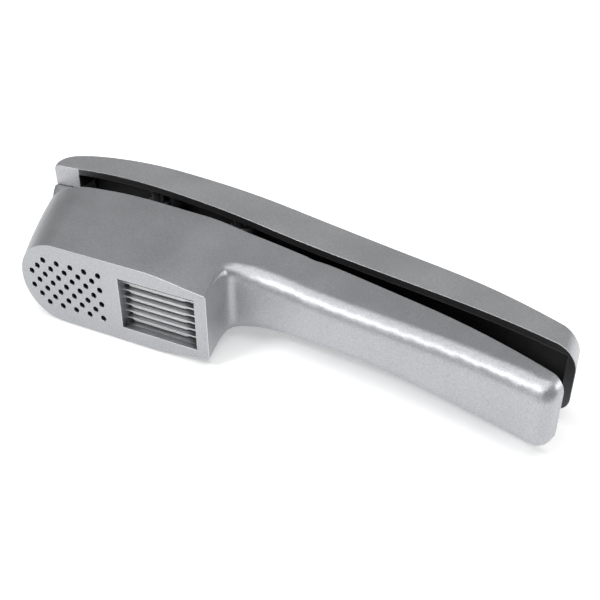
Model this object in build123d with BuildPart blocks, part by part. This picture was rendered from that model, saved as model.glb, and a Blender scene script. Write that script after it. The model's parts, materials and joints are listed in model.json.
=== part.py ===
from build123d import *
import os
from math import cos, radians, sin

# Two-in-one garlic press: a cast body with a perforated chamber and a slicing window, and a
# cast lever hinged to it that carries one swinging plunger for each chamber.
# The press lies on its side. +X runs from the hinge to the grip ends, +Y from the outlet face
# to the lever, +Z up across the width. The origin is below the middle of the whole press.
# Inside the sketches, x is measured from the first full column of holes, the depth y from the
# outlet face, and z from the plane of symmetry.

# ---- where the measuring point lies in the part's own frame ----
COLUMN_X = -61.6
FACE_Y = -30.05
MID_Z = 13.35

# ---- head ----
HEAD_HALF = 13.35          # half width of the head
PLATE = 2.4                # thickness of the outlet plate
NOSE_X = 4.25              # centre of the round end at the outlet face
WALL = 2.35                # wall round the chambers
HEAD_END = 50.0            # the head block stops here, inside the grip's neck
CHAMBER_TOP = 42.0         # chamber cutters run past the rim to this depth

# ---- outlet holes ----
HOLE_R = 1.0
HOLE_PITCH = 5.0           # along a row
ROW_PITCH = 2.5            # from row to row; every second row is shifted by half a pitch

# ---- slicing window and chambers ----
WINDOW_LEFT = 26.9
WINDOW_RIGHT = 52.6
WINDOW_HALF = 8.55
DIVIDER_LEFT = 22.2        # press chamber side of the wall between the chambers
DIVIDER_RIGHT = 24.9
SLICER_HALF = 9.4
STRIP_PITCH = 2.44
STRIP_COUNT = 6
STRIP_THICK = 0.45
STRIP_DEEP = 2.2
FINGER_COUNT = STRIP_COUNT + 1
FINGER_THICK = 1.6
FINGER_TIP = 3.7           # depth of the finger tips at rest
FINGER_LEFT = 27.5
FINGER_RIGHT = 47.9
FINGER_ROOT = 15.0

# ---- hinge and swing pins: (x, depth) ----
HINGE = (-23.6, 47.8)
HINGE_PIN_R = 2.0
PRESS_PIN = (8.0, 50.5)
SLICER_PIN = (40.5, 49.0)
SWING_PIN_R = 1.5
RUNNING = 0.05             # radial clearance of a running fit
BARREL_R = 5.7             # tongue barrel round the hinge pin
TONGUE_HALF = 6.0
SLOT_HALF = 6.25
SLOT_R = 6.0
RAM_BARREL_R = 3.6
PRESS_BARREL = 5.5         # half length of the press plunger's barrel
SLICER_BARREL = 5.0
BOSS_R = 2.7               # bosses that keep a barrel in the middle of its pin
BARREL_LEFT = (HINGE[0] - BARREL_R, HINGE[1])
BARREL_BACK = (HINGE[0], HINGE[1] + BARREL_R)
TONGUE_SHOULDER = (HINGE[0] + 3.4, HINGE[1] + (BARREL_R ** 2 - 3.4 ** 2) ** 0.5)

# ---- lever ----
LEVER_WALL = 2.2
LUG_INNER = -20.0          # the lugs end and the channel starts here
NOSE_R = 7.0
LUG_FACE = 43.8            # depth of the flat face under the lugs
BLIND = 1.0                # metal left over a blind pin hole
SUNK = 0.4                 # a driven pin sits this far below the surface


def side_plane(z=0.0):
    """Plane of the side profile: local x along the press, local y the depth."""
    return Plane(origin=(COLUMN_X, FACE_Y, MID_Z + z))


def depth_plane(depth):
    """Plane across the depth: local x along the press, local y across the width."""
    return Plane(origin=(COLUMN_X, FACE_Y + depth, MID_Z), x_dir=(1, 0, 0), z_dir=(0, 1, 0))


# ======================= body =======================
RIM = [(-34, 34.4), (-9, 35.4), (4, 36.9), (30, 36.0), (62, 34.7), (89, 31.2), (116, 24.1),
       (140, 14.7), (160, 4.6)]
# grip cross-sections: x, depth of the outer skin, lean of the section, height of the section,
# half width at the skin, half width at its inner edge, corner radius
NECK = [(56.5, 0.0, 180, 12.0, 10.91, 12.28, 0.6),
        (54.9, 7.0, 180, 11.0, 11.15, 12.35, 1.0),
        (54.5, 12.0, 168, 13.0, 11.34, 12.61, 2.2),
        (56.6, 15.9, 128, 27.0, 11.12, 12.82, 4.0)]
GRIP = [(64, 16.4, 90, 20.0, 10.00, 10.00, 5.2),
        (78, 15.2, 88, 20.0, 8.98, 8.98, 5.2),
        (94, 13.4, 85, 19.0, 8.48, 8.48, 5.2),
        (110, 11.1, 82, 17.0, 8.82, 8.82, 5.2),
        (126, 7.95, 79, 15.0, 9.58, 9.58, 5.2),
        (140, 4.6, 76, 13.0, 10.15, 10.15, 5.2),
        (151.8, 1.45, 76, 12.0, 10.45, 10.45, 5.2)]


def head_outline(depth, centre_x, nose_length, half, end_x, end_half):
    """Plan outline of the head at one depth, with a half-elliptic hinge end."""
    with BuildSketch(depth_plane(depth)) as outline:
        with BuildLine():
            Spline((end_x, end_half), (35, half), tangents=[(-1, 0.16), (-1, 0)])
            Line((35, half), (centre_x, half))
            EllipticalCenterArc((centre_x, 0), nose_length, half, start_angle=90, arc_size=180)
            Line((centre_x, -half), (35, -half))
            Spline((35, -half), (end_x, -end_half), tangents=[(1, 0), (1, 0.16)])
            Line((end_x, -end_half), (end_x, end_half))
        make_face()
    return outline.sketch


def grip_section(x, depth, lean, height, half_skin, half_inner, corner):
    """Cross-section of the grip: a trough with two round corners at the outer skin."""
    inward = Vector(cos(radians(lean)), sin(radians(lean)), 0)
    plane = Plane(origin=(COLUMN_X + x, FACE_Y + depth, MID_Z), x_dir=(0, 0, 1),
                  z_dir=(-inward.Y, inward.X, 0))
    bend = corner * (1 - cos(radians(45)))
    with BuildSketch(plane) as section:
        with BuildLine():
            Line((-half_inner, height), (-half_skin, corner))
            ThreePointArc((-half_skin, corner), (-half_skin + bend, bend), (-half_skin + corner, 0))
            Line((-half_skin + corner, 0), (half_skin - corner, 0))
            ThreePointArc((half_skin - corner, 0), (half_skin - bend, bend), (half_skin, corner))
            Line((half_skin, corner), (half_inner, height))
            Line((half_inner, height), (-half_inner, height))
        make_face()
    return section.sketch


def above_rim(points, far):
    """Side profile of everything beyond a rim curve, up to the depth far."""
    with BuildSketch(side_plane()) as profile:
        with BuildLine():
            Spline(*points)
            Polyline(points[-1], (points[-1][0], far), (points[0][0], far), points[0])
        make_face()
    return profile.sketch


with BuildPart() as head:
    loft(sections=[head_outline(0, NOSE_X, HEAD_HALF, HEAD_HALF, HEAD_END, 11.62),
                   head_outline(20, -2.0, 17.9, HEAD_HALF, HEAD_END, 11.62),
                   head_outline(40, -9.0, 19.8, HEAD_HALF, HEAD_END, 11.62)])

with BuildPart() as grip:
    loft(sections=[grip_section(*station) for station in NECK + GRIP])

CHANNEL_FLOOR = 2.3        # wall under the grip's channel
CHANNEL = [(60.5, 16.7 + CHANNEL_FLOOR, 90, 24.0, 7.85, 7.85, 3.0),
           (78, 15.2 + CHANNEL_FLOOR, 88, 24.0, 6.75, 6.75, 3.0),
           (94, 13.4 + CHANNEL_FLOOR, 85, 24.0, 6.25, 6.25, 3.0),
           (110, 11.1 + CHANNEL_FLOOR, 82, 20.0, 6.6, 6.6, 3.0),
           (126, 7.95 + CHANNEL_FLOOR, 79, 18.0, 7.35, 7.35, 3.0),
           (147.5, 2.6 + CHANNEL_FLOOR, 75, 16.0, 8.1, 8.1, 3.0)]


def chamber_outline(depth, centre_x, nose_length, half):
    """Plan outline of the press chamber at one depth."""
    with BuildSketch(depth_plane(depth)) as outline:
        with BuildLine():
            Line((DIVIDER_LEFT, half), (centre_x, half))
            EllipticalCenterArc((centre_x, 0), nose_length, half, start_angle=90, arc_size=180)
            Line((centre_x, -half), (DIVIDER_LEFT, -half))
            Line((DIVIDER_LEFT, -half), (DIVIDER_LEFT, half))
        make_face()
    return outline.sketch


with BuildPart() as channel:
    loft(sections=[grip_section(*station) for station in CHANNEL])

CHAMBER_HALF = HEAD_HALF - WALL
with BuildPart() as press_chamber:
    loft(sections=[chamber_outline(PLATE, NOSE_X, CHAMBER_HALF, CHAMBER_HALF),
                   chamber_outline(CHAMBER_TOP, -9.0, 15.5, CHAMBER_HALF)], ruled=True)

HOLE_ROWS = [(0, 5, -0.5), (1, 6, -1), (2, 5, -0.5), (3, 5, 0)]   # row, holes, first column
hole_places = [((first + column) * HOLE_PITCH, side * row * ROW_PITCH)
               for row, count, first in HOLE_ROWS
               for side in ((1,) if row == 0 else (1, -1))
               for column in range(count)]

with BuildPart() as body:
    add(head.part)
    add(grip.part)
    # round the grip's end
    tip = body.faces().sort_by(Axis.X)[-1]
    fillet(tip.edges().sort_by(Axis.Y)[:-1], 4.0)
    # cut the rim
    extrude(above_rim(RIM, 80), amount=20, both=True, mode=Mode.SUBTRACT)
    # tongue for the hinge
    with BuildSketch(side_plane()) as tongue:
        with BuildLine():
            Polyline((-20.6, 31.0), (-23.4, 33.6), (-27.3, 39.2), (-29.4, 42.7), BARREL_LEFT)
            ThreePointArc(BARREL_LEFT, BARREL_BACK, TONGUE_SHOULDER)
            Polyline(TONGUE_SHOULDER, (TONGUE_SHOULDER[0], 42.0), (-21.3, 35.5), (-20.6, 31.0))
        make_face()
        with Locations(HINGE):
            Circle(3.3)
    extrude(amount=TONGUE_HALF, both=True)
    add(channel.part, mode=Mode.SUBTRACT)
    add(press_chamber.part, mode=Mode.SUBTRACT)
    # slicing chamber, then its window through the plate
    with BuildSketch(depth_plane(PLATE)):
        with Locations(((DIVIDER_RIGHT + WINDOW_RIGHT) / 2, 0)):
            RectangleRounded(WINDOW_RIGHT - DIVIDER_RIGHT, 2 * SLICER_HALF, 1.0)
    extrude(amount=CHAMBER_TOP, mode=Mode.SUBTRACT)
    # lead-in on the divider
    with BuildSketch(side_plane()):
        Polygon((DIVIDER_RIGHT, 16), (DIVIDER_RIGHT - 1.3, CHAMBER_TOP), (30, CHAMBER_TOP), (30, 16),
                align=None)
    extrude(amount=SLICER_HALF - 0.5, both=True, mode=Mode.SUBTRACT)
    with BuildSketch(depth_plane(0)):
        with Locations(((WINDOW_LEFT + WINDOW_RIGHT) / 2, 0)):
            Rectangle(WINDOW_RIGHT - WINDOW_LEFT, 2 * WINDOW_HALF)
    extrude(amount=PLATE, mode=Mode.SUBTRACT)
    # outlet holes
    with BuildSketch(depth_plane(0)):
        with Locations(*hole_places):
            Circle(HOLE_R)
    extrude(amount=PLATE, mode=Mode.SUBTRACT)
    # running bore for the hinge pin
    with BuildSketch(side_plane()):
        with Locations(HINGE):
            Circle(HINGE_PIN_R + RUNNING)
    extrude(amount=TONGUE_HALF, both=True, mode=Mode.SUBTRACT)

# ======================= lever =======================
BACK = [(-27.2, 53.8), (-12.3, 58.7), (3.3, 60.1), (20, 59.2), (51, 57.0), (80.3, 54.0), (108.4, 47.8),
        (134.4, 38.4), (147.6, 32.3), (153.2, 29.2)]
LEVER_RIM = [(LUG_INNER, 44.6), (-4, 46.1), (20, 44.5), (58, 40.6), (86.5, 37.8), (113, 32.6),
             (137, 25.9), (154.0, 20.3)]
LEVER_WIDTH = [(8, HEAD_HALF), (45, 12.1), (67.5, 9.75), (94, 8.48), (118, 9.25), (140, 10.3)]
LEVER_END_HALF = 10.5
NOSE_DROP = HINGE[1] - LUG_FACE
LUG_OUTER = HINGE[0] - (NOSE_R ** 2 - NOSE_DROP ** 2) ** 0.5


def lever_plan(inset, start_x, end_x):
    """Plan outline of the lever, or of its channel when inset by the wall."""
    sides = [[(x, side * (half - inset)) for x, half in LEVER_WIDTH] for side in (1, -1)]
    end_half = LEVER_END_HALF - inset
    with BuildSketch(depth_plane(0)) as outline:
        with BuildLine():
            for side, points in zip((1, -1), sides):
                Line((start_x, points[0][1]), points[0])
                Spline(*points, (end_x, side * end_half), tangents=[(1, 0), (1, 0)])
            Line((start_x, sides[0][0][1]), (start_x, sides[1][0][1]))
            Line((end_x, end_half), (end_x, -end_half))
        make_face()
    return outline.sketch


with BuildPart() as lever_shell:
    with BuildSketch(side_plane()):
        with BuildLine():
            RadiusArc((LUG_OUTER, LUG_FACE), BACK[0], NOSE_R)
            Spline(*BACK, tangents=[(6.0, 3.6), (1.0, -0.56)])
            Line(BACK[-1], LEVER_RIM[-1])
            Spline(*LEVER_RIM)
            Line(LEVER_RIM[0], (LUG_OUTER, LUG_FACE))
        make_face()
    extrude(amount=20, both=True)
    extrude(lever_plan(0, -40, 170), amount=80, mode=Mode.INTERSECT)

    corners = lever_shell.edges().filter_by(lambda e: e.center().X > COLUMN_X + 151)
    fillet(corners.filter_by(lambda e: abs(e.center().Z - MID_Z) > LEVER_END_HALF - 1), 6.0)
    back = lever_shell.faces().sort_by(Axis.Y)[-1]
    nose = lever_shell.faces().sort_by(Axis.X)[0]
    outline = (back.edges() + nose.edges()).filter_by(
        lambda e: abs(e.center().Z - MID_Z) > 3 or e.center().X > COLUMN_X + 150)
    fillet(outline, 1.6)

with BuildPart() as lever_channel:
    with BuildSketch(side_plane()):
        with BuildLine():
            ceiling = [(x, depth - LEVER_WALL) for x, depth in BACK]
            roof = Spline(*ceiling)
            Polyline(roof @ 1, (roof @ 1 + Vector(3.0, -8.0)), (roof @ 1 + Vector(3.0, -26)),
                     (ceiling[0][0], 10), roof @ 0)
        make_face()
    extrude(amount=20, both=True)
    extrude(lever_plan(LEVER_WALL, LUG_INNER, 151.3), amount=80, mode=Mode.INTERSECT)


HINGE_BLIND = HEAD_HALF - BLIND                  # pins stop here under the unbroken upper side
SLICER_PIN_SIDE = 12.45                          # half width of the lever at the slicer pin
SLICER_BLIND = SLICER_PIN_SIDE - BLIND


def pin_seat(place, radius, far_side, blind_end):
    """Cutter for a pin driven in from the lower side into a blind seat."""
    with BuildPart() as cutter:
        with BuildSketch(side_plane(-far_side - 1)):
            with Locations(place):
                Circle(radius)
        extrude(amount=far_side + 1 + blind_end)
    return cutter.part


with BuildPart() as lever:
    add(lever_shell.part)
    add(lever_channel.part, mode=Mode.SUBTRACT)
    # inner bosses for the swing pins
    for place, inner, outer in ((PRESS_PIN, PRESS_BARREL + 0.25, 12.0),
                                (SLICER_PIN, SLICER_BARREL + 0.25, 11.0)):
        for side in (1, -1):
            with BuildSketch(side_plane(side * inner)):
                with Locations(place):
                    Circle(BOSS_R)
            extrude(amount=side * (outer - inner))
    # slot between the lugs for the tongue
    with BuildSketch(side_plane()):
        with Locations(HINGE):
            Circle(SLOT_R)
        with Locations((HINGE[0] - 7, HINGE[1] - 3.5)):
            Rectangle(14, 15.4)
        with Locations((HINGE[0] + 2.7, HINGE[1] - 6)):
            Rectangle(5.8, 12)
    extrude(amount=SLOT_HALF, both=True, mode=Mode.SUBTRACT)
    add(pin_seat(HINGE, HINGE_PIN_R, HEAD_HALF, HINGE_BLIND), mode=Mode.SUBTRACT)
    add(pin_seat(PRESS_PIN, SWING_PIN_R, HEAD_HALF, HINGE_BLIND), mode=Mode.SUBTRACT)
    add(pin_seat(SLICER_PIN, SWING_PIN_R, HEAD_HALF, SLICER_BLIND), mode=Mode.SUBTRACT)


# ======================= pins =======================
def driven_pin(place, radius, far_side, blind_end):
    """Pin with broken ends, sunk below the lower side."""
    with BuildPart() as pin:
        with BuildSketch(side_plane(-far_side + SUNK)):
            with Locations(place):
                Circle(radius)
        extrude(amount=far_side - SUNK + blind_end)
        chamfer(pin.edges().filter_by(GeomType.CIRCLE), 0.3)
    return pin.part


hinge_pin = driven_pin(HINGE, HINGE_PIN_R, HEAD_HALF, HINGE_BLIND)
press_pin = driven_pin(PRESS_PIN, SWING_PIN_R, HEAD_HALF, HINGE_BLIND)
slicer_pin = driven_pin(SLICER_PIN, SWING_PIN_R, SLICER_PIN_SIDE, SLICER_BLIND)


# ======================= press plunger =======================
FOOT_GAP = 0.5
FOOT_LOW = 4.7             # depth of the foot's face at rest
FOOT_THICK = 5.0


def ram(place, foot_top, web_half, foot_left, foot_right, barrel_half):
    """Web, cross web and barrel of a plunger, standing on its foot."""
    with BuildPart() as column:
        with BuildSketch(side_plane()):
            Polygon((foot_left, foot_top), (foot_right, foot_top), (place[0] + 3.0, place[1]),
                    (place[0] - 3.0, place[1]), align=None)
        extrude(amount=web_half, both=True)
        with BuildSketch(side_plane()):
            Polygon((place[0] - 2.0, foot_top), (place[0] + 2.0, foot_top), (place[0] + 2.0, place[1]),
                    (place[0] - 2.0, place[1]), align=None)
        extrude(amount=barrel_half - 1.0, both=True)
        with BuildSketch(side_plane()):
            with Locations(place):
                Circle(RAM_BARREL_R)
        extrude(amount=barrel_half, both=True)
    return column.part


def swing_bore(place):
    """Cutter for a plunger's running bore."""
    with BuildPart() as cutter:
        with BuildSketch(side_plane()):
            with Locations(place):
                Circle(SWING_PIN_R + RUNNING)
        extrude(amount=12, both=True)
    return cutter.part


with BuildPart() as press_plunger:
    foot_half = CHAMBER_HALF - FOOT_GAP
    foot_right = DIVIDER_LEFT - FOOT_GAP
    with BuildSketch(depth_plane(FOOT_LOW)):
        with Locations((NOSE_X, 0)):
            Circle(foot_half)
        with Locations(((NOSE_X + foot_right) / 2, 0)):
            Rectangle(foot_right - NOSE_X, 2 * foot_half)
    extrude(amount=FOOT_THICK)
    chamfer(press_plunger.edges().group_by(Axis.Y)[0], 0.4)
    add(ram(PRESS_PIN, FOOT_LOW + FOOT_THICK - 0.5, 2.25, -2.5, 18.5, PRESS_BARREL))
    add(swing_bore(PRESS_PIN), mode=Mode.SUBTRACT)

# ======================= slicer plunger =======================
CARRIER_LOW = 11.5
CARRIER_TOP = 16.5
ROD_PLACES = [(31.5, 13.6), (43.5, 13.6)]
ROD_R = 1.0
finger_levels = [(number - (FINGER_COUNT - 1) / 2) * STRIP_PITCH for number in range(FINGER_COUNT)]
strip_levels = [(number - (STRIP_COUNT - 1) / 2) * STRIP_PITCH for number in range(STRIP_COUNT)]

with BuildPart() as slicer_carrier:
    with BuildSketch(depth_plane(CARRIER_LOW)):
        with Locations(((FINGER_LEFT + FINGER_RIGHT) / 2, 0)):
            RectangleRounded(FINGER_RIGHT - FINGER_LEFT, 2 * 8.25, 0.8)
    extrude(amount=CARRIER_TOP - CARRIER_LOW)
    add(ram(SLICER_PIN, CARRIER_TOP - 0.5, 2.25, 29.5, 45.5, SLICER_BARREL))
    add(swing_bore(SLICER_PIN), mode=Mode.SUBTRACT)
    for level in finger_levels:
        with BuildSketch(side_plane(level)):
            with Locations(((FINGER_LEFT + FINGER_RIGHT) / 2, CARRIER_LOW)):
                Rectangle(30, 2 * (FINGER_ROOT - CARRIER_LOW))
        extrude(amount=FINGER_THICK / 2, both=True, mode=Mode.SUBTRACT)
    with BuildSketch(side_plane()):
        with Locations(*ROD_PLACES):
            Circle(ROD_R)
    extrude(amount=8.3, both=True, mode=Mode.SUBTRACT)

fingers = []
for level in finger_levels:
    with BuildPart() as finger:
        with BuildSketch(side_plane(level)) as outline:
            with Locations(((FINGER_LEFT + FINGER_RIGHT) / 2, (FINGER_TIP + FINGER_ROOT) / 2)):
                Rectangle(FINGER_RIGHT - FINGER_LEFT, FINGER_ROOT - FINGER_TIP)
            fillet(outline.vertices().group_by(Axis.Y)[0], 1.2)
            with Locations(*ROD_PLACES):
                Circle(ROD_R, mode=Mode.SUBTRACT)
        extrude(amount=FINGER_THICK / 2, both=True)
        tip_edges = finger.faces().sort_by(Axis.Y)[0].edges().filter_by(Axis.X)
        fillet(tip_edges, 0.35)
    fingers.append(finger.part)

with BuildPart() as finger_rods:
    with BuildSketch(side_plane()):
        with Locations(*ROD_PLACES):
            Circle(ROD_R)
    extrude(amount=8.1, both=True)

# ======================= strips and their frame =======================
FRAME_DEEP = STRIP_DEEP + 0.4
FRAME_GAP = 0.1
FRAME_RIGHT = WINDOW_RIGHT - FRAME_GAP
FRAME_LEFT = DIVIDER_RIGHT + FRAME_GAP
BAR = 1.15
with BuildPart() as blade_frame:
    with BuildSketch(depth_plane(PLATE)):
        with Locations(((FRAME_LEFT + FRAME_RIGHT) / 2, 0)):
            RectangleRounded(FRAME_RIGHT - FRAME_LEFT, 2 * (SLICER_HALF - FRAME_GAP), 0.9)
        with Locations(((WINDOW_LEFT + FRAME_RIGHT - BAR) / 2, 0)):
            Rectangle(FRAME_RIGHT - BAR - WINDOW_LEFT, 2 * WINDOW_HALF, mode=Mode.SUBTRACT)
    extrude(amount=FRAME_DEEP)
    for level in strip_levels:
        with BuildSketch(depth_plane(PLATE)):
            with Locations(((FRAME_LEFT + FRAME_RIGHT) / 2, level)):
                Rectangle(FRAME_RIGHT - FRAME_LEFT - 1.0, STRIP_THICK)
        extrude(amount=STRIP_DEEP, mode=Mode.SUBTRACT)

strips = []
for level in strip_levels:
    with BuildPart() as strip:
        with BuildSketch(depth_plane(PLATE)):
            with Locations(((FRAME_LEFT + FRAME_RIGHT) / 2, level)):
                Rectangle(FRAME_RIGHT - FRAME_LEFT - 1.0, STRIP_THICK)
        extrude(amount=STRIP_DEEP)
        edges = strip.faces().sort_by(Axis.Y)[-1].edges().filter_by(Axis.X)
        chamfer(edges, 0.6, 0.15)
    strips.append(strip.part)

# ======================= write the pieces =======================
pieces = {
    "body": body.part,
    "lever": lever.part,
    "hinge_pin": hinge_pin,
    "press_plunger": press_plunger.part,
    "press_pin": press_pin,
    "slicer_carrier": slicer_carrier.part,
    "finger_rods": finger_rods.part,
    "slicer_pin": slicer_pin,
    "blade_frame": blade_frame.part,
}
for number, finger_part in enumerate(fingers, start=1):
    pieces[f"finger_{number}"] = finger_part
for number, strip_part in enumerate(strips, start=1):
    pieces[f"blade_{number}"] = strip_part

os.makedirs("parts", exist_ok=True)
for name, piece in pieces.items():
    piece.label = name
    export_step(piece, f"parts/{name}.step")
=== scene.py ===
import json
import math

import bmesh
import bpy
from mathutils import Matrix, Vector


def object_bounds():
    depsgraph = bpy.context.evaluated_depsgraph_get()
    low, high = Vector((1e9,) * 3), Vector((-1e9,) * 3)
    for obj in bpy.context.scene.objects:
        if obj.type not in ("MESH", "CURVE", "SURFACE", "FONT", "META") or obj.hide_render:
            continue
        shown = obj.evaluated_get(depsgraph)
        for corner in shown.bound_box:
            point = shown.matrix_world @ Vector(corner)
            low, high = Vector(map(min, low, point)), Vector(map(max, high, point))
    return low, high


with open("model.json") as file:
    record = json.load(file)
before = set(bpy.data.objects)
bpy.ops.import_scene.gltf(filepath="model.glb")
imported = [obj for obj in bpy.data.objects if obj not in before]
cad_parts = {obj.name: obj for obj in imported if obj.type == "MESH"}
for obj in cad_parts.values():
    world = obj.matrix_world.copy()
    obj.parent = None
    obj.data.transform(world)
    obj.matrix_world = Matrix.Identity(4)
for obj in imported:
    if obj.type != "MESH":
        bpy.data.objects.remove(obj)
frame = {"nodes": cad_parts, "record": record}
cad_lo, cad_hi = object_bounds()
nodes = frame["nodes"]

EDGE_HIGHLIGHT_COLOUR = (0.88, 0.88, 0.89)     # painted highlight: bright colour blended in along the sharp edges
EDGE_SAMPLES = 8                    # for the rolled normal and the hollow shade
LEVER_RIM_SHADE_FROM = -0.0815      # x past the lugs, where the lever's rim face turns dark
FLOOR_HALF = 6.0
FLOOR_GAP = 0.0004                  # between the floor and the press
WELD_DISTANCE = 0.000001
SHARP_ANGLE = 32                    # degrees


# ---------------------------------------------------------------- node helpers
def new_material(name):
    mat = bpy.data.materials.new(name)
    mat.use_nodes = True
    tree = mat.node_tree
    tree.nodes.clear()
    out = tree.nodes.new("ShaderNodeOutputMaterial")
    shader = tree.nodes.new("ShaderNodeBsdfPrincipled")
    tree.links.new(shader.outputs["BSDF"], out.inputs["Surface"])
    return mat, tree, shader


def coords(tree, scale=(1, 1, 1)):
    where = tree.nodes.new("ShaderNodeTexCoord")
    mapping = tree.nodes.new("ShaderNodeMapping")
    mapping.inputs["Scale"].default_value = scale
    tree.links.new(where.outputs["Object"], mapping.inputs["Vector"])
    return mapping.outputs["Vector"]


def noise(tree, vector, scale, detail=2.0, rough=0.5):
    n = tree.nodes.new("ShaderNodeTexNoise")
    n.inputs["Scale"].default_value = scale
    n.inputs["Detail"].default_value = detail
    n.inputs["Roughness"].default_value = rough
    tree.links.new(vector, n.inputs["Vector"])
    return n.outputs["Fac"]


def flakes(tree, vector, scale):
    n = tree.nodes.new("ShaderNodeTexVoronoi")
    n.inputs["Scale"].default_value = scale
    tree.links.new(vector, n.inputs["Vector"])
    return n


def remap(tree, value, low, high, out_low, out_high):
    n = tree.nodes.new("ShaderNodeMapRange")
    n.inputs["From Min"].default_value = low
    n.inputs["From Max"].default_value = high
    n.inputs["To Min"].default_value = out_low
    n.inputs["To Max"].default_value = out_high
    tree.links.new(value, n.inputs["Value"])
    return n.outputs["Result"]


def math_node(tree, kind, a, b):
    n = tree.nodes.new("ShaderNodeMath")
    n.operation = kind
    for socket, value in zip(n.inputs, (a, b)):
        if isinstance(value, (int, float)):
            socket.default_value = value
        else:
            tree.links.new(value, socket)
    return n.outputs[0]


def blend_colour(tree, fac, a, b):
    n = tree.nodes.new("ShaderNodeMix")
    n.data_type = "RGBA"
    tree.links.new(fac, n.inputs["Factor"])
    for socket, value in ((n.inputs["A"], a), (n.inputs["B"], b)):
        if isinstance(value, tuple):
            socket.default_value = (*value, 1.0)
        else:
            tree.links.new(value, socket)
    return n.outputs["Result"]


def bump(tree, height, strength, distance, under=None):
    n = tree.nodes.new("ShaderNodeBump")
    n.inputs["Strength"].default_value = strength
    n.inputs["Distance"].default_value = distance
    tree.links.new(height, n.inputs["Height"])
    if under is not None:
        tree.links.new(under, n.inputs["Normal"])
    return n.outputs["Normal"]


def soft_edge(tree, radius=0.0004):
    """Normal that rolls over sharp edges."""
    n = tree.nodes.new("ShaderNodeBevel")
    n.samples = EDGE_SAMPLES
    n.inputs["Radius"].default_value = radius
    return n.outputs["Normal"]


def painted_edge_highlight(tree, rolled):
    """Mask for the painted edge highlight: 1 along sharp edges, where the rolled normal leaves
    the face's own, 0 elsewhere.
    """
    geo = tree.nodes.new("ShaderNodeNewGeometry")
    n = tree.nodes.new("ShaderNodeVectorMath")
    n.operation = "DOT_PRODUCT"
    tree.links.new(rolled, n.inputs[0])
    tree.links.new(geo.outputs["Normal"], n.inputs[1])
    return remap(tree, n.outputs["Value"], 0.78, 0.95, 1.0, 0.0)


def hollow_shade(tree, low, high, reach=0.04, darkest=0.05):
    """1 on open faces, falling to darkest deep inside the piece's own hollows."""
    n = tree.nodes.new("ShaderNodeAmbientOcclusion")
    n.only_local = True
    n.samples = EDGE_SAMPLES
    n.inputs["Distance"].default_value = reach
    return remap(tree, n.outputs["AO"], low, high, darkest, 1.0)


def rim_shade(tree, past_x, darkest=0.16):
    """Darkest on the faces turned to the outlet side beyond past_x, 1 elsewhere."""
    where = tree.nodes.new("ShaderNodeTexCoord")
    facing = tree.nodes.new("ShaderNodeSeparateXYZ")
    tree.links.new(where.outputs["Normal"], facing.inputs["Vector"])
    place = tree.nodes.new("ShaderNodeSeparateXYZ")
    tree.links.new(where.outputs["Object"], place.inputs["Vector"])
    inner = remap(tree, facing.outputs["Y"], -0.75, -0.55, 1.0, 0.0)
    beyond = remap(tree, place.outputs["X"], past_x - 0.0002, past_x + 0.0002, 0.0, 1.0)
    return remap(tree, math_node(tree, "MULTIPLY", inner, beyond), 0.0, 1.0, 1.0, darkest)


def scale_colour(tree, colour, factor):
    n = tree.nodes.new("ShaderNodeVectorMath")
    n.operation = "SCALE"
    tree.links.new(colour, n.inputs["Vector"])
    tree.links.new(factor, n.inputs["Scale"])
    return n.outputs["Vector"]


# ---------------------------------------------------------------- materials
def lacquered_casting(name, dark, light, metallic=0.75, rough=(0.38, 0.46), hollow=(0.15, 0.50),
                      rim_past=None):
    """Satin silver lacquer: fine metallic grain over slow waves of the casting below.

    hollow is the range of openness over which the piece's own hollows go dark, and rim_past the
    x beyond which its rim face does.
    """
    mat, tree, shader = new_material(name)
    spot = coords(tree)
    rolled = soft_edge(tree)
    grain = noise(tree, spot, 2600.0, 2.0, 0.7)
    fleck = flakes(tree, spot, 2400.0)
    cloud = noise(tree, spot, 45.0, 3.0, 0.55)
    tone = math_node(tree, "ADD", remap(tree, grain, 0.3, 0.7, 0.0, 0.60),
                     remap(tree, cloud, 0.3, 0.7, 0.0, 0.20))
    tone = math_node(tree, "ADD", tone,
                     remap(tree, fleck.outputs["Distance"], 0.0, 0.5, 0.34, 0.0))
    paint = blend_colour(tree, tone, dark, light)
    # painted highlight: a bright colour blended into the lacquer along sharp edges
    edge_lit = blend_colour(tree, painted_edge_highlight(tree, rolled), paint, EDGE_HIGHLIGHT_COLOUR)
    shade = hollow_shade(tree, *hollow)
    if rim_past is not None:
        shade = math_node(tree, "MULTIPLY", shade, rim_shade(tree, rim_past))
    tree.links.new(scale_colour(tree, edge_lit, shade), shader.inputs["Base Color"])
    tree.links.new(remap(tree, math_node(tree, "ADD", grain, cloud), 0.7, 1.3, *rough),
                   shader.inputs["Roughness"])
    shader.inputs["Metallic"].default_value = metallic
    shader.inputs["Coat Weight"].default_value = 0.10
    shader.inputs["Coat Roughness"].default_value = 0.40
    orange_peel = bump(tree, noise(tree, spot, 520.0, 2.0), 0.08, 0.0003, rolled)
    tree.links.new(bump(tree, grain, 0.18, 0.00012, orange_peel), shader.inputs["Normal"])
    return mat


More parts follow.
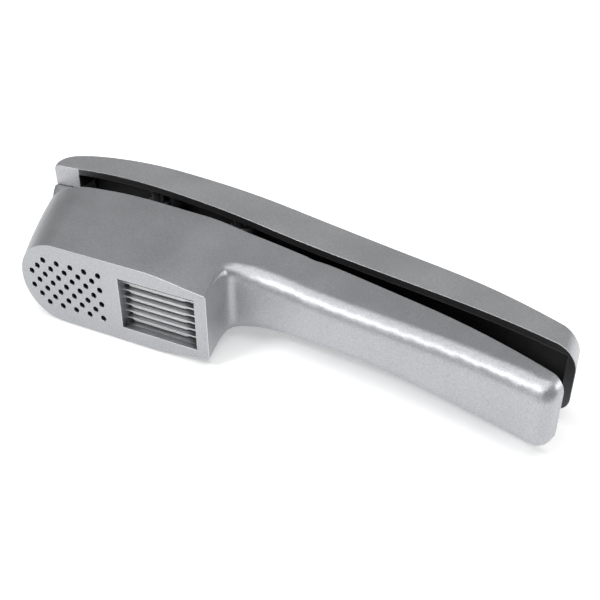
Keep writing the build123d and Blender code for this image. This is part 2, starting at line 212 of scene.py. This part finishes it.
def ground_steel(name, base, bright, along, metallic=1.0, rough=(0.24, 0.40), strength=0.25):
    """Steel with fine grinding lines; along is the scale that stretches them."""
    mat, tree, shader = new_material(name)
    lines = noise(tree, coords(tree, along), 900.0, 4.0, 0.65)
    cloud = noise(tree, coords(tree), 160.0, 2.0)
    colour = blend_colour(tree, remap(tree, lines, 0.3, 0.7, 0.0, 1.0), base, bright)
    rolled = soft_edge(tree, 0.00012)
    # painted highlight: the bright colour blended in along sharp edges
    edge_lit = blend_colour(tree, painted_edge_highlight(tree, rolled), colour, bright)
    tree.links.new(edge_lit, shader.inputs["Base Color"])
    tree.links.new(remap(tree, math_node(tree, "ADD", lines, cloud), 0.7, 1.3, *rough),
                   shader.inputs["Roughness"])
    shader.inputs["Metallic"].default_value = metallic
    tree.links.new(bump(tree, lines, strength, 0.00008, rolled), shader.inputs["Normal"])
    return mat


cast_body = lacquered_casting("cast_body", (0.33, 0.34, 0.355), (0.56, 0.57, 0.59), 0.84)
cast_lever = lacquered_casting("cast_lever", (0.37, 0.375, 0.39), (0.62, 0.625, 0.645),
                               hollow=(0.45, 0.85), rim_past=LEVER_RIM_SHADE_FROM)
cast_plunger = lacquered_casting("cast_plunger", (0.20, 0.205, 0.215), (0.32, 0.325, 0.335),
                                 0.6, (0.42, 0.56))
finger_steel = ground_steel("finger_steel", (0.93, 0.93, 0.94), (0.99, 0.99, 0.99),
                            (0.04, 1, 1), 0.10, (0.20, 0.34))
blade_steel = ground_steel("blade_steel", (0.40, 0.41, 0.42), (0.62, 0.63, 0.64),
                           (0.05, 1, 1), 0.9, (0.30, 0.45))
pin_steel = ground_steel("pin_steel", (0.40, 0.40, 0.42), (0.62, 0.62, 0.64),
                         (1, 1, 0.1), 1.0, (0.28, 0.42))


def crisp_edges(obj):
    """Shade sharp edges as sharp and flat faces as flat beside the rounded ones."""
    weld = obj.modifiers.new("weld", "WELD")
    weld.merge_threshold = WELD_DISTANCE
    split = obj.modifiers.new("split", "EDGE_SPLIT")
    split.split_angle = math.radians(SHARP_ANGLE)
    split.use_edge_sharp = False
    shading = obj.modifiers.new("shading", "WEIGHTED_NORMAL")
    shading.mode = "FACE_AREA_WITH_ANGLE"
    shading.weight = 50


finish_of = {"cast_body": cast_body, "cast_lever": cast_lever, "plunger_cast": cast_plunger,
             "finger_steel": finger_steel, "blade_steel": blade_steel, "pin_steel": pin_steel}
for part in frame["record"]["subparts"]:
    obj = nodes[part["node"]]
    obj.data.materials.clear()
    obj.data.materials.append(finish_of[part["material_slot"]])
    crisp_edges(obj)


# ---------------------------------------------------------------- floor
def floor(half, level):
    mesh = bpy.data.meshes.new("floor")
    bm = bmesh.new()
    corners = [bm.verts.new((x * half, y * half, level))
               for x, y in ((-1, -1), (1, -1), (1, 1), (-1, 1))]
    bm.faces.new(corners)
    bm.to_mesh(mesh)
    bm.free()
    obj = bpy.data.objects.new("floor", mesh)
    bpy.context.scene.collection.objects.link(obj)
    mat, tree, shader = new_material("floor_paper")
    # the glow lightens the shadow, because the photo shows none
    paper = noise(tree, coords(tree), 60.0, 4.0)
    tree.links.new(blend_colour(tree, paper, (0.93, 0.93, 0.93), (0.96, 0.96, 0.96)),
                   shader.inputs["Base Color"])
    tree.links.new(remap(tree, paper, 0.3, 0.7, 0.55, 0.65), shader.inputs["Roughness"])
    shader.inputs["Emission Color"].default_value = (1.0, 1.0, 1.0, 1.0)
    shader.inputs["Emission Strength"].default_value = 0.30
    mesh.materials.append(mat)


floor(FLOOR_HALF, cad_lo.z - FLOOR_GAP)


# ---------------------------------------------------------------- light
def softbox(name, place, aim, width, height, power):
    data = bpy.data.lights.new(name, "AREA")
    data.shape = "RECTANGLE"
    data.size = width
    data.size_y = height
    data.energy = power
    obj = bpy.data.objects.new(name, data)
    obj.location = place
    obj.rotation_euler = (Vector(place) - Vector(aim)).to_track_quat("Z", "Y").to_euler()
    bpy.context.scene.collection.objects.link(obj)


centre = (cad_lo + cad_hi) / 2
world = bpy.data.worlds.new("studio")
world.use_nodes = True
background = world.node_tree.nodes["Background"]
background.inputs["Color"].default_value = (1.0, 1.0, 1.0, 1.0)
background.inputs["Strength"].default_value = 0.22
bpy.context.scene.world = world
softbox("overhead_box", (0.0, 0.0, 1.25), centre, 1.7, 1.5, 13.0)
softbox("fillet_box", (-0.36, -0.56, 0.74), centre, 0.24, 0.18, 3.0)
softbox("front_fill", (-0.20, -0.95, 0.30), centre, 1.1, 0.5, 0.8)
softbox("end_fill", (0.85, 0.50, 0.35), centre, 0.5, 0.4, 3.0)

# ---------------------------------------------------------------- camera
lens = bpy.data.cameras.new("camera")
lens.sensor_width = 36.0
lens.lens = 55.98
lens.clip_start = 0.01
lens.clip_end = 50.0
camera = bpy.data.objects.new("camera", lens)
azimuth = math.radians(26.197)
elevation = math.radians(34.212)
back = Vector((math.sin(azimuth) * math.cos(elevation),
               -math.cos(azimuth) * math.cos(elevation),
               math.sin(elevation)))
camera.location = (0.11165, -0.20844, 0.16731)
camera.rotation_euler = back.to_track_quat("Z", "Y").to_euler()
bpy.context.scene.collection.objects.link(camera)
bpy.context.scene.camera = camera
bpy.context.scene.view_settings.view_transform = "Standard"
